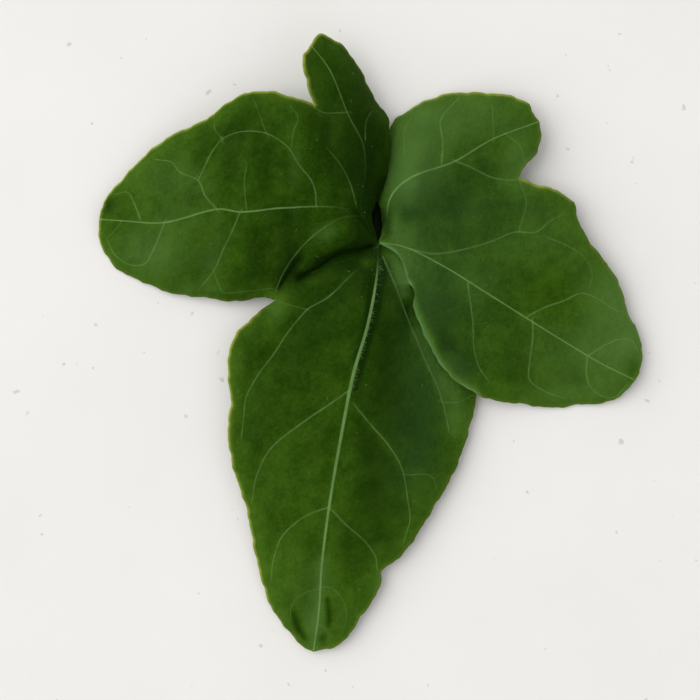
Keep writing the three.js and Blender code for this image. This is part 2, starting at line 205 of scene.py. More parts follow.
# Side veins, each from its parent outwards: x and y from the junction.
SECOND = {
    WEST: [
        # left lobe
        [(-17.5, 3.5), (-18.8, 5), (-19.6, 6.7), (-21.7, 7.7), (-22.6, 8.8), (-24.5, 9.2)],
        [(-19.6, 6.7), (-18.8, 8.4), (-18.3, 9.5), (-17.1, 11.3)],
        [(-6.8, 4), (-6.9, 5.5), (-7.4, 6.8), (-8.7, 8.4), (-9.8, 10.2), (-12.2, 11.8), (-15, 12),
         (-17.1, 11.3)],
        [(-15, 3.2), (-15.9, 1.2), (-16.8, -0.5), (-18, -3), (-19.4, -4.6)],
        [(-23.3, 2.2), (-24, 0.6), (-24.8, -1), (-25.7, -2.2), (-27.6, -2.2), (-29.2, -1), (-29.9, 0.5)],
        [(-26.1, 2.7), (-26.8, 4.4), (-27.6, 5.6), (-29, 5.4)],
        [(-1.5, 2.9), (-4, 2.7), (-5.9, 1.6), (-8.1, -0.1), (-9.8, -2.1), (-10.9, -4), (-11.3, -5.1)],
        # middle lobe
        [(-0.5, -1.3), (-3, -3.6), (-5.5, -6), (-7.6, -7.2), (-8.4, -8), (-10, -10), (-11.5, -12.3),
         (-13.1, -14.4), (-14.5, -17), (-14.7, -18.5), (-15, -21.5)],
        [(0.5, -1.5), (2, -5), (3, -7.8), (4.3, -10.8), (5.2, -13), (6.3, -15.3), (7.1, -17.5),
         (7.8, -20.5)],
        [(-3.1, -16.1), (-5.5, -17.8), (-8, -19.5), (-11.8, -22.6), (-13.3, -25.5), (-13.9, -28.5)],
        [(-2.6, -17.8), (-0.8, -20), (1.1, -22.2), (2.6, -24.8), (3.3, -28.5), (3.5, -30.5), (2.8, -33)],
        [(-5.5, -29), (-8, -30), (-10.5, -32.2), (-11.5, -34.8), (-11.8, -37.3)],
        [(-5.2, -29.2), (-3.5, -31), (-1.5, -32.8), (-0.3, -34.5), (-0.1, -36)],
    ],
    EAST: [
        # right lobe
        [(3.5, -0.7), (6, -1.2), (9, -0.8), (12.5, 0.2), (15, 1.2), (17.3, 1.2), (19, 2.5), (20.1, 3)],
        [(9.8, -4.4), (10.1, -6.5), (10.4, -9), (10.5, -11.5), (11, -13.5), (12, -15)],
        [(17, -8.5), (17, -10.5), (16.7, -13), (16.7, -15), (18.5, -16.3), (20.5, -17)],
        [(16.5, -8), (18.5, -7), (20.5, -6.3), (22.4, -5.5), (24.5, -6.3), (26, -7.3), (26.5, -7.5)],
        [(23.2, -12.3), (25, -11.2), (26.5, -10.6), (28, -10.7), (28.7, -12)],
        [(23, -12.6), (23, -14.5), (23.5, -15.8), (24.8, -16.8), (26.2, -16.9), (27.5, -15.5)],
        # right basal lobe
        [(8.3, 8.9), (10, 8.3), (12.5, 7.2), (14.5, 6.9), (15.5, 7)],
        [(6.9, 8.7), (7.1, 11), (6.9, 13.5), (8.9, 16)],
    ],
}
# The finest veins.
THIRD = {
    WEST: [
        [(-17.1, 11.3), (-17.8, 12.3), (-17.9, 13.4)], [(-12.2, 11.8), (-12.9, 13.8), (-13.5, 15.4)],
        [(-9.5, 10.3), (-9.2, 12), (-8.7, 13.4), (-9.6, 14.7)],
        [(-28.3, 2.3), (-29.2, 1.2), (-29.9, 0.7)], [(-2.4, 4.2), (-3.1, 6.6), (-4.2, 8.6), (-5.5, 10.1)],
        [(-14.3, 3.6), (-14.5, 6.5), (-14.3, 8)],
        [(-18, -3), (-17.5, -4.5), (-17, -5.3), (-14.5, -5.2), (-11.6, -4.9)],
        [(-3.4, 13.9), (-4.6, 13.9), (-5.9, 14), (-7, 14.7)], [(-1.5, 11), (-1.4, 13), (-0.8, 14.2)],
        [(-7.8, -7.3), (-9.8, -6.8), (-11, -6.4)], [(7, -17.5), (8.8, -17.5), (10.3, -16.8)],
        [(3, -25.5), (5.8, -25.6), (6.5, -27.2)],
        [(-6.5, -38), (-8.3, -38.6), (-9.5, -39.8), (-9.6, -41.5)],
        [(-6.2, -37.8), (-5, -38), (-3.8, -39.5), (-3.5, -41.2), (-4, -43)], [(-6.5, -42), (-5.4, -43)],
    ],
    EAST: [
        [(18.5, 0.6), (20.5, -0.2), (22.5, -1.5), (23.5, -3.5), (23.2, -4.8)],
        [(15.5, 1.7), (16.2, 4.2), (15.9, 5.7), (15.4, 7.2)], [(12.6, 11.5), (12.5, 14.8)],
        [(13.8, 12), (15.5, 10.5), (16, 9)], [(2.9, 9.5), (3, 12.5), (3.8, 14)],
    ],
}

# Creases in the blade, by side: (points, half-width, height).
CREASES = {
    WEST: [
        ([(-0.6, -0.3), (-2, -0.7), (-4.5, -1.3), (-7, -2.9), (-8.6, -3.7)], 0.45, -1.1),
        ([(-8.8, -1.8), (-10, -3.4), (-10.9, -4.8)], 0.4, -0.6),
    ],
}
# Bulges and hollows, by side: (x, y, x size, y size, height).
BULGES = {
    WEST: [
        (-29.3, 4, 0.9, 0.6, -0.3), (-28.6, 1.6, 0.9, 0.6, -0.2), (-9.9, 2.2, 1, 2.2, -0.3),
        (-13.7, -1, 1.3, 1.6, -0.3), (-5, 0.9, 2.6, 1.3, 0.8), (-8.5, -42.8, 0.6, 1.2, -0.35),
        (-5.7, -43.4, 0.6, 1.2, -0.35),
    ],
    EAST: [
        (4.4, 1.8, 1.3, 2, 0.5), (4.2, 6.5, 1.2, 2.5, 0.7), (9, 4.5, 2.5, 2.2, -0.5),
    ],
}
# Ripples: (x, y, x size, y size, pitch along x, height). A crest is at x, and it slants.
RIPPLE_SLANT = 0.15
RIPPLES = {
    WEST: [
        (-14, -0.5, 6, 3, 3.7, 0.14), (-14, 7.5, 6, 4, 4.2, 0.16),
    ],
}

# Patches of painted shade and painted light, where slopes, hollows and folds lie in shade or face the lamp,
# by side: (x, y, x size, y size, amount), darker below 0.
SHADE_AND_LIGHT_PATCHES = {
    WEST: [
        # round the junction
        (0, 0.5, 3.3, 3.6, -1.1), (-1.2, -2, 1.2, 0.8, 0.9), (0.3, 3, 1.5, 2.5, -0.4),
        # left basal lobe
        (-1.2, 7, 3, 9, -0.8), (-4.5, 16, 5.5, 9, -0.5), (-7.5, 20, 1.5, 2.5, -0.3),
        # left lobe
        (-19, 10.5, 1.4, 2.5, -0.45), (-9.4, 2.6, 1.4, 1.6, -0.4), (-9.8, -1.5, 1.2, 3.5, -0.45),
        (-13.2, -1.5, 1.6, 3, -0.5), (-17.4, 0.3, 1, 2.5, 0.2), (-13, 9.5, 2.2, 4.5, -0.45),
        (-29.9, 4.2, 1.3, 1.1, -0.8), (-4.9, 1.1, 2.8, 1.4, 0.55), (-24.5, -1.2, 3.5, 2.5, 0.55),
        (-22, 7.5, 5, 3, 0.3), (-9, 8.8, 1.2, 3.5, 0.4), (-20, -5, 3, 0.8, 0.35),
        (-5.8, 12.2, 0.8, 2.5, -0.4), (-3.4, 4.8, 1, 1.5, 0.5), (-6.2, -2, 1, 0.6, -0.6),
        (-18.5, -2.1, 1.2, 1.8, 0.3), (-21.8, 2.6, 3, 2, 0.25), (-25.8, -0.5, 2.5, 2, 0.2),
        (-16.3, 10.5, 1.2, 4, -0.5), (-14.1, 7.8, 1, 2.5, 0.2), (-4.2, 7, 3, 3, -0.3),
        (-4.2, -2, 2.2, 1, -0.4), (-10.5, 2.6, 4, 2, -0.2),
        # middle lobe
        (-3.5, -5, 4, 3.5, -0.45), (-9, -8, 5, 6, -0.3), (0.9, -9, 1.8, 8, -0.8),
        (3.8, -20, 3.5, 8, -0.7), (-1.2, -19, 1.6, 6, -0.3), (-11.5, -6.6, 1.6, 1.3, 0.5),
        (-1, -22, 2.5, 6, -0.3), (-0.5, -33, 3, 5, -0.4), (-8.5, -18, 4, 7, -0.2),
        (8.2, -18.5, 1.6, 3.5, 0.55), (-6.2, -43.6, 0.5, 0.4, -0.6), (1.3, -6.5, 0.9, 3.5, 0.55),
        (3.1, -7.3, 0.5, 1.3, -0.8), (-0.5, -28, 2.2, 4, -0.3), (-8, -12, 2, 2.5, -0.3),
        (-11.3, -9, 1.2, 2, 0.3), (-7.4, -42, 0.8, 1.6, 0.4), (-5.5, -9.5, 2.5, 2.5, -0.25),
        (-13.5, -20, 2.5, 8, -0.3), (-10.6, -7.8, 0.8, 1.8, 0.3), (-3.6, -34, 1.2, 3.5, -0.3),
        (0.2, -37, 2, 2.5, 0.4), (-7, -40, 4, 5, 0.2),
    ],
    EAST: [
        # round the junction
        (2, -1.5, 3, 3, 0.6), (0.7, 2.4, 0.7, 1.6, -1.2), (1.9, 1.9, 0.6, 1.3, 0.7),
        # right lobe
        (27.5, -11.5, 1.8, 3, 0.3), (8.6, -14.4, 1, 1, -0.4), (21, -8, 2.5, 2.5, -0.3),
        (20.5, -16.5, 4, 1.2, 0.35), (26.6, -5, 3, 2.5, 0.4), (4.6, -6.2, 1.5, 1.5, -0.25),
        (26, -10, 8, 7, 0.75), (28, -13.8, 1.2, 1.5, -0.5), (17, 1.5, 7, 5, 0.3), (19.5, -5, 4, 4, -0.25),
        (9.5, -4.5, 3, 2, 0.3), (7.4, -8, 1.8, 4, -0.35), (12.5, 3.5, 2.5, 2, -0.4),
        # right basal lobe
        (5.7, 14.2, 1.5, 1.2, 0.3), (13.4, 10.6, 1.5, 1.5, -0.25), (16.7, 8.4, 1, 1.5, 0.35),
        (3.5, 9, 3.5, 5, 0.75), (9, 14, 8, 4, 0.5), (15, 9, 2, 3, 0.5), (8.2, 4, 2.4, 2.4, -0.4),
        (3.8, 3.1, 1.5, 0.7, -0.6), (3.2, 6.3, 1.6, 1.8, 0.3),
    ],
}
# The same along lines: painted shade in creases, along the basal sinus and under lobes that lie over others,
# and painted light and highlight along folds: (points, half-width, amount).
SHADE_AND_HIGHLIGHT_BANDS = {
    WEST: [
        ([(4.4, -10), (5.6, -13), (6.8, -15.5)], 1.2, 0.6),
        ([(0.7, -1), (1.9, -3.2), (2.9, -5.5)], 0.6, 1.15),
        ([(1.6, -1.2), (2.5, -2.8), (3.2, -4.4)], 0.5, 1),
        ([(-2.8, -1.6), (-5.2, -2.4), (-7.2, -3.3)], 0.16, 0.35),
        ([(-6.2, -35), (-6.6, -39), (-7, -44)], 0.8, 0.5),
        ([(-2.4, -18), (0.8, -22), (2.6, -24.8)], 0.6, 0.35),
        ([(-0.6, -5), (-1.3, -9), (-2.4, -13)], 0.5, -0.65),
        ([(-9.3, -40.8), (-8.9, -42.4), (-8.1, -43.5)], 0.45, -0.9),
        ([(-5.6, -39.2), (-5.4, -40.8), (-5.4, -42.1)], 0.35, -0.9),
        ([(0.45, -2.5), (0.1, -5.5), (-0.6, -9), (-1.5, -12.5), (-2.5, -16)], 0.35, -0.7),
        ([(-0.4, -0.4), (-2, -0.7), (-4.5, -1.3), (-7, -2.9), (-8.6, -3.7)], 0.7, -0.9),
        ([(-8.6, -1.6), (-10, -3.4), (-10.9, -4.8)], 0.5, -0.7),
        ([(-0.3, 0.6), (-0.7, 2.6), (-0.6, 4.4), (0.4, 6.5)], 0.5, -1),
    ],
    EAST: [
        ([(3.4, -4.6), (4, -7), (5.3, -10.3), (7.4, -13.9), (10.8, -16.6)], 0.45, 1.4),
        ([(0.3, -0.1), (1.7, -0.9), (2.7, -2.7), (3.5, -4.6)], 0.3, 1.1),
        ([(4.7, -4.4), (5.8, -8.2), (7.4, -11.2)], 1, -0.4),
        ([(7.4, -11.2), (9.8, -14.2)], 0.9, -0.3),
    ],
}
# Painted sheen, where the green is made greyer and bluer as the lamp's reflection makes it: (x, y, x size,
# y size, amount).
SHEEN_PATCHES = {
    WEST: [
        (5.5, -13, 3, 8, 0.35), (2, -3, 1.5, 3, 0.3), (4, -24, 3, 6, 0.2),
    ],
    EAST: [
        (5.5, -5.5, 6, 7, 0.38), (8, -14.2, 2.5, 2, 0.45), (12, 4, 5, 4, 0.2), (4, 5, 5, 4, 0.32),
    ],
}

# How far main veins stand out, in half-widths, and side veins, in millimetres, and how far each spreads.
RIDGE = dict(above=0.35, below=1.6, side_below=0.12, spread=1.3, side_spread=1.6, side_reach=0.5)
# The blade is puffed up between its veins, from none to all of it between two distances from the margin, and
# from the junction.
PUFF = dict(height=0.42, reach=1.5, from_margin=(0, 2.0), from_junction=(1.0, 5.0))
LEVEL = (3, 8)  # between these distances from the junction the thickness turns from upright to square

# The margin's pale rim, painted light that is strongest where the margin faces the lamp: its width, where it
# faces when palest, the least it shows, the cosines of the turn between those, and the distances from the
# junction where it starts and is full.
LIT_RIM = dict(width=0.4, faces=130, least=0.15, turn=(-0.2, 0.8), start=(13, 18))

# The stub of the stalk, from the dip to its cut end, with heights from the junction's.
STALK = dict(start=(0.1, -1.7, -0.5), end=(-0.5, 4.6, -1.7), neck=0.38, thick=0.78, thin=0.68, thick_at=0.3,
             droop=0.35, sides=20, rings=14)
ASKEW = (0.3, 0.2, 1.0)  # a direction that no tube runs along, to set out its rings from

# Fine hairs beside a part of the midrib, and tiny pale scales all over the upper side.
HAIRS = dict(count=60, heading=(-60, 40), length=(0.3, 0.65), rise=0.5, radius=0.012)
SCALES = dict(count=170, heading=(0, 360), length=(0.12, 0.5), rise=0.15, radius=0.0192)
HAIRY = slice(8, 75)  # in steps along the vein
BESIDE_RIB = (0.12, 0)

# The map to bake on: where the lobes' middles and feet stand, how much higher the underside is, how many
# times the rounded margin is widened, and the whole width.
MAP = dict(centres=(6.5, 21.7, 52.2, 83.3, 104.7), foot=1.5, underside=50, widen=4, size=110)

# How much lighter than its darkest green the blade is made by each thing.
LIGHTER = dict(mottle=0.55, grain=0.22, less=0.16, outer=0.3, brim=0.3)
# How fast the painted shade darkens the green below 0 and the painted light pales it above 0, and where and
# how fast the painted highlight shows.
PAINTED_LIGHT_RATES = dict(darker=0.85, paler=0.75, highlight_from=1.05, highlight=3.5)
# How far from its middle line a vein may show, and how soft its edge is in half-widths.
VEIN_MASKS = dict(main=(0.5, 0.45), second=(0.4, 0.6), third=(0.35, 0.8))

DARK_GREEN = (0.015, 0.047, 0.0011, 1)
LIGHT_GREEN = (0.049, 0.116, 0.0066, 1)
# The greens of painted shade and painted light.
PAINTED_SHADE_GREEN = (0.003, 0.0135, 0.0002, 1)
PAINTED_LIGHT_GREEN = (0.079, 0.170, 0.033, 1)
# The green of the painted highlight along folds.
HIGHLIGHT_GREEN = (0.080, 0.185, 0.058, 1)
# The green of painted sheen.
SHEEN_GREEN = (0.033, 0.084, 0.022, 1)
VEIN_GREEN = (0.137, 0.254, 0.076, 1)
# The margin's pale rim, painted lighter where it faces the lamp.
LIT_MARGIN_GREEN = (0.30, 0.36, 0.06, 1)
UNDER_GREEN = (0.085, 0.15, 0.05, 1)
UNDER_VEIN = (0.17, 0.26, 0.10, 1)
# Painted shade on the stalk's top, where it lies in the hollow.
STALK_PAINTED_SHADE = (0.004, 0.009, 0.002, 1)
STALK_BROWN = (0.085, 0.070, 0.025, 1)
HAIR_COLOUR = (0.22, 0.32, 0.14, 1)
FLOOR_SHADES = [(0.795, 0.785, 0.765, 1), (0.83, 0.815, 0.80, 1)]
SPECK_GREY = (0.45, 0.42, 0.38, 1)

FLOOR_HALF = 1500
# The lamp, in metres, watts and degrees.
LAMP = dict(size=2.0, energy=24.0, colour=(1.0, 0.99, 0.97), azimuth=160, elevation=42, distance=1.6)
# The sky's strength falls with height: (height, strength), where 0 is level and 1 is overhead.
SKY = dict(colour=(1.0, 1.0, 0.99, 1), low=(0.2, 1.15), high=(0.95, 0.35))
# The camera's place is in the row frame. Its picture is this wide at this height above the surface.
CAMERA = dict(lens=85, sensor=36, width=77, above=2, x=-2.13, y=-0.54)


def towards(degrees):
    a = math.radians(degrees)
    return np.array([math.cos(a), math.sin(a)])


def unit(vectors):
    """The same directions, one long."""
    return vectors / np.maximum(np.linalg.norm(vectors, axis=1), 1e-12)[:, None]


def from_junction(points):
    return np.hypot(points[:, 0], points[:, 1])


def smoothstep(x, low, high):
    """0 at low, 1 at high, smooth between."""
    t = np.clip((x - low) / (high - low), 0, 1)
    return t * t * (3 - 2 * t)


def flattened(points):
    return np.column_stack([points[:, :2], np.zeros(len(points))])


def tree_of(points, numbers):
    tree = KDTree(len(points))
    for point, number in zip(points, numbers):
        tree.insert(point, number)
    tree.balance()
    return tree


def in_lobe(lobe, along, sideways):
    """The point of a lobe at distances along its heading and sideways, positive anticlockwise."""
    return along * towards(lobe["heading"]) + sideways * towards(lobe["heading"] + 90)


def side_of(lobes):
    return np.array([lobe["side"] for lobe in LOBES])[lobes]


def blend(x, low, high, a, b):
    """a where x is low, b where it is high, straight between."""
    return (high - x) / (high - low) * a + (x - low) / (high - low) * b


def smooth_curve(points, steps=24):
    """A curve through the points, a centripetal Catmull-Rom spline, as many short straight steps."""
    p = np.array(points, float)
    p = np.vstack([2 * p[0] - p[1], p, 2 * p[-1] - p[-2]])
    t = np.linspace(0, 1, steps, endpoint=False)[:, None]
    pieces = []
    for a, b, c, d in zip(p, p[1:], p[2:], p[3:]):
        ta, tb, tc, td = np.cumsum([0, *(np.linalg.norm(step) ** 0.5 for step in (b - a, c - b, d - c))])
        x = tb + t * (tc - tb)
        ab, bc, cd = blend(x, ta, tb, a, b), blend(x, tb, tc, b, c), blend(x, tc, td, c, d)
        pieces.append(blend(x, tb, tc, blend(x, ta, tc, ab, bc), blend(x, tb, td, bc, cd)))
    return np.vstack(pieces + [p[-2:-1]])


def run_of(curve):
    """How far along a curve each of its points is."""
    return np.concatenate([[0], np.cumsum(np.linalg.norm(np.diff(curve, axis=0), axis=1))])


def even(curve, count):
    """count + 1 points evenly spaced along a curve."""
    run = run_of(curve)
    at = np.linspace(0, run[-1], count + 1)
    return np.stack([np.interp(at, run, curve[:, k]) for k in range(curve.shape[1])], 1)


def profile(first, points, last, share):
    """Values at shares of the way, on a smooth curve through (0, first), the points and (1, last)."""
    x, y = np.array([(0, first), *points, (1, last)], float).T
    slope = np.empty_like(x)
    slope[1:-1] = (y[2:] - y[:-2]) / (x[2:] - x[:-2])
    slope[[0, -1]] = (y[1] - y[0]) / (x[1] - x[0]), (y[-1] - y[-2]) / (x[-1] - x[-2])
    i = np.clip(np.searchsorted(x, share, side="right") - 1, 0, len(x) - 2)
    span = x[i + 1] - x[i]
    t = (share - x[i]) / span
    rise = (2 * t**3 - 3 * t**2 + 1) * y[i] + (3 * t**2 - 2 * t**3) * y[i + 1]
    return rise + span * ((t**3 - 2 * t**2 + t) * slope[i] + (t**3 - t**2) * slope[i + 1])


def raised(points, steps, first, heights, last):
    """A smooth curve through flat points, in even steps, with a profile of heights."""
    flat = even(smooth_curve(points), steps)
    return np.column_stack([flat, profile(first, heights, last, np.linspace(0, 1, steps + 1))])


def vein_line(lobe, columns):
    points = [in_lobe(lobe, s * lobe["length"], side) for s, side in lobe["vein"]]
    points = [(0, 0), *points, in_lobe(lobe, lobe["length"], 0)]
    return raised(points, columns, JUNCTION[2], lobe["vein_heights"], lobe["tip_height"])


def notch_point(notch):
    bearing, distance = notch[:2]
    return distance * towards(bearing)


def notch_line(notch):
    bearing, distance, height, bow, sag = notch
    bowed = BOWED_AT * notch_point(notch) + bow * towards(bearing + 90)
    middle = (JUNCTION[2] + height) / 2 - sag
    points = [(0, 0), bowed, notch_point(notch)]
    return raised(points, round(distance / CELL), JUNCTION[2], [(0.5, middle)], height)


def crenulated(flat, sign, rng):
    """A margin with small uneven teeth, which fade out at its ends."""
    run = run_of(flat)
    wave = sum(size * np.sin(2 * math.pi * (run / pitch + rng.random())) for pitch, size in TEETH)
    fade = np.clip(np.minimum(run, run[-1] - run) / TEETH_FADE, 0, 1)
    along = unit(np.gradient(flat, axis=0))
    outward = sign * np.column_stack([-along[:, 1], along[:, 0]])
    return flat + outward * (wave * fade)[:, None]


def edge_line(lobe, side, sign, notch, columns, rng):
    """The edge of one side of a lobe, from junction to tip, and how many columns come before its notch."""
    outline = [in_lobe(lobe, a * lobe["length"], sign * out * side["reach"]) for a, out in side["outline"]]
    start = notch_point(notch) if notch else (0, 0)
    inner = notch_line(notch) if notch else np.array([[0, 0, JUNCTION[2]]])
    free = columns - len(inner) + 1
    flat = even(smooth_curve([start, *outline, in_lobe(lobe, lobe["length"], 0)]), free)
    flat = crenulated(flat, sign, rng)
    first = notch[2] if notch else JUNCTION[2]
    heights = profile(first, side["heights"], lobe["tip_height"], np.linspace(0, 1, free + 1))
    return np.vstack([inner, np.column_stack([flat, heights])[1:]]), len(inner) - 1


def half_lobe(vein, edge, inner, rows, side):
    """Points across half a lobe, (columns + 1, rows + 1, 3). See halfLobe in the CAD source."""
    w = (np.linspace(0, 1, rows + 1) ** CROWDING)[None, :, None]
    outside = smoothstep(np.arange(len(vein)), inner * FREED[0], inner + FREED[1])[:, None, None]
    rise = (1 - outside) * (w * w * (3 - 2 * w)) + outside * w ** side.get("roll", ROLL)
    belly = profile(0, side.get("belly", []), 0, np.linspace(0, 1, len(vein)))[:, None, None]
    flat = vein[:, None, :2] * (1 - w) + edge[:, None, :2] * w
    height = vein[:, None, 2:] * (1 - rise) + edge[:, None, 2:] * rise + belly * 4 * w * (1 - w)
    return np.concatenate([flat, height], 2)


def cells_of(shape, first, turned):
    """The quads of a grid whose points are numbered from first."""
    at = first + np.arange(shape[0] * shape[1]).reshape(shape)
    a, b, c, d = at[:-1, :-1], at[1:, :-1], at[1:, 1:], at[:-1, 1:]
    quads = np.stack([a, b, c, d] if turned else [a, d, c, b], -1)
    return quads.reshape(-1, 4)


def middle_surface():
    """The middle of the blade: its points and quads, and the lobe of each."""
    rng = np.random.default_rng(SEED)
    points, quads, lobes, quad_lobes = [], [], [], []
    count = 0
    for i, lobe in enumerate(LOBES):
        columns = round(lobe["length"] / CELL * COLUMNS_PER_CELL)
        vein = vein_line(lobe, columns)
        notches = (NOTCHES[i - 1] if i else None, NOTCHES[i] if i < len(NOTCHES) else None)
        for side, sign, notch in (("cw", -1, notches[0]), ("ccw", 1, notches[1])):
            edge, inner = edge_line(lobe, lobe[side], sign, notch, columns, rng)
            width = np.linalg.norm(edge - vein, axis=1).max()
            rows = max(FEWEST_ROWS, round(width / CELL * ROWS_PER_CELL))
            grid = half_lobe(vein, edge, inner, rows, lobe[side])
            points.append(grid.reshape(-1, 3))
            quads.append(cells_of(grid.shape[:2], count, sign > 0))
            lobes.append(np.full(len(points[-1]), i))
            quad_lobes.append(np.full(len(quads[-1]), i))
            count += len(points[-1])
    return merged(np.vstack(points), np.vstack(quads), np.concatenate(lobes), np.concatenate(quad_lobes))


def merged(points, quads, lobes, quad_lobes):
    """The same surface with points that lie in one place made one."""
    places = np.round(points / SAME_PLACE).astype(np.int64)
    _, first, renumbered = np.unique(places, axis=0, return_index=True, return_inverse=True)
    return points[first], renumbered.reshape(-1)[quads], lobes[first], quad_lobes


def triangles_of(quads):
    """The triangles of quads, without those with no area, and which quad each came from."""
    tris = np.concatenate([quads[:, [0, 1, 2]], quads[:, [0, 2, 3]]])
    source = np.tile(np.arange(len(quads)), 2)
    real = (tris[:, 0] != tris[:, 1]) & (tris[:, 1] != tris[:, 2]) & (tris[:, 2] != tris[:, 0])
    return tris[real], source[real]


class Lines:
    """Curves on the blade, to measure how far points are from them."""

    def __init__(self, curves, widths):
        place, along, width, inner = [], [], [], []
        for curve, wide in zip(curves, widths):
            p = even(curve, max(2, round(run_of(curve)[-1] / LINE_STEP)))
            place.append(p)
            along.append(unit(np.gradient(p, axis=0)))
            width.append(np.interp(np.linspace(0, 1, len(p)), WIDTHS_AT, wide))
            inner.append(np.r_[False, np.full(len(p) - 2, True), False])
        self.place, self.along = np.vstack(place), np.vstack(along)
        self.width, self.inner = np.concatenate(width), np.concatenate(inner)
        self.tree = tree_of(flattened(self.place), range(len(self.place)))

    def measure(self, points):
        """For each point: its distance, the same with a sign for its side, and the line's width there."""
        near = np.array([self.tree.find(p)[1] for p in flattened(points)])
        off = points[:, :2] - self.place[near]
        t = self.along[near]
        across = t[:, 0] * off[:, 1] - t[:, 1] * off[:, 0]
        distance = np.where(self.inner[near], np.abs(across), np.linalg.norm(off, axis=1))
        return distance, np.copysign(distance, across), self.width[near]


def vein_lines(side):
    mine = [i for i, lobe in enumerate(LOBES) if lobe["side"] == side]
    main = [vein_line(LOBES[i], VEIN_COLUMNS)[:, :2] for i in mine]
    second, third = ([smooth_curve(path) for path in table[side]] for table in (SECOND, THIRD))
    return [
        Lines(main, [MAIN_WIDTHS[i] for i in mine]),
        Lines(second, [SECOND_WIDTH] * len(second)),
        Lines(third, [THIRD_WIDTH] * len(third)),
    ]


def vein_measures(points, sides):
    """The VEIN_MEASURES of each point, from the veins of its own side."""
    result = np.zeros((len(points), len(VEIN_MEASURES)))
    for side in (WEST, EAST):
        mine = sides == side
        columns = []
        for order in vein_lines(side):
            distance, across, width = order.measure(points[mine])
            columns += [distance, across / width]
        result[mine] = np.column_stack(columns)
    return dict(zip(VEIN_MEASURES, result.T))


def summed(points, sides, table, shape):
    """The sum at each point of the shapes in the table's rows for its side."""
    total = np.zeros(len(points))
    for side, rows in table.items():
        mine = sides == side
        for row in rows:
            total[mine] += shape(points[mine], *row)
    return total


def blotch(points, x, y, wide, tall, amount):
    return amount * np.exp(-(((points[:, 0] - x) / wide) ** 2) - ((points[:, 1] - y) / tall) ** 2)


def ripple(points, x, y, wide, tall, pitch, amount):
    across = points[:, 0] - x + RIPPLE_SLANT * (points[:, 1] - y)
    return blotch(points, x, y, wide, tall, amount) * np.cos(2 * math.pi * across / pitch)


def crease(points, path, wide, amount, power=1):
    far = Lines([smooth_curve(path)], [(1, 1, 1)]).measure(points)[0]
    return amount * np.exp(-((far / wide) ** power))


def band(points, path, wide, amount):
    return crease(points, path, wide, amount, 2)


def relief(points, sides, veins, edge):
    near = np.minimum(veins["main_far"], veins["second_far"])
    inside = smoothstep(edge, *PUFF["from_margin"])
    inside = inside * smoothstep(from_junction(points), *PUFF["from_junction"])
    height = PUFF["height"] * (1 - np.exp(-((near / PUFF["reach"]) ** 2))) * inside
    for table, shape in ((CREASES, crease), (BULGES, blotch), (RIPPLES, ripple)):
        height += summed(points, sides, table, shape)
    return height


def margin_of(tris, count):
    """The edges that only one triangle has."""
    edges = np.concatenate([tris[:, [0, 1]], tris[:, [1, 2]], tris[:, [2, 0]]]).astype(np.int64)
    there = edges[:, 0] * count + edges[:, 1]
    back = edges[:, 1] * count + edges[:, 0]
    return edges[~np.isin(there, back)]


def margin_distance(points, sides, margin):
    """Each point's distance from the free margin of its own side, and its nearest margin point."""
    trees = {}
    for side in (WEST, EAST):
        mine = margin[sides[margin] == side]
        trees[side] = tree_of(points[mine], mine)
    found = [trees[side].find(point) for point, side in zip(points, sides)]
    return np.array([f[2] for f in found]), np.array([f[1] for f in found])


def normals_of(points, tris):
    """The way the blade faces, made straight up near the junction."""
    n = np.cross(points[tris[:, 1]] - points[tris[:, 0]], points[tris[:, 2]] - points[tris[:, 0]])
    total = np.zeros_like(points)
    for k in range(3):
        np.add.at(total, tris[:, k], n)
    own = smoothstep(from_junction(points), *LEVEL)[:, None]
    return unit(own * unit(total) + (1 - own) * np.array([0, 0, 1.0]))


def outward_of(points, rim, normal):
    """The way straight out of the blade at the start of each rim edge."""
    step = np.zeros((len(points), 3))
    for k in range(2):
        np.add.at(step, rim[:, k], points[rim[:, 1]] - points[rim[:, 0]])
    return unit(np.cross(step, normal)[rim[:, 0]])


def skins(points, normal, veins, edge):
    main = np.exp(-((veins["main_across"] / RIDGE["spread"]) ** 2))
    second = np.exp(-((veins["second_across"] / RIDGE["side_spread"]) ** 2))
    second = second * np.exp(-((veins["second_far"] / RIDGE["side_reach"]) ** 2))
    width = np.abs(veins["main_far"] / np.maximum(np.abs(veins["main_across"]), 1e-6))
    half = (MARGIN_THICKNESS + (THICKNESS - MARGIN_THICKNESS) * smoothstep(edge, 0, MARGIN_TAPER)) / 2
    above = half + main * width * RIDGE["above"]
    below = half + main * width * RIDGE["below"] + second * RIDGE["side_below"]
    return points + normal * above[:, None], points - normal * below[:, None]


def rim_faces(rim, count):
    """The triangles of the rounded margin, four to each edge."""
    a, b = rim.T
    bulge = np.zeros(count, int)
    bulge[a] = 2 * count + np.arange(len(rim))
    m, n = bulge[a], bulge[b]
    return np.stack([a, m, n, a, n, b, m, a + count, b + count, m, b + count, n], 1).reshape(-1, 3)


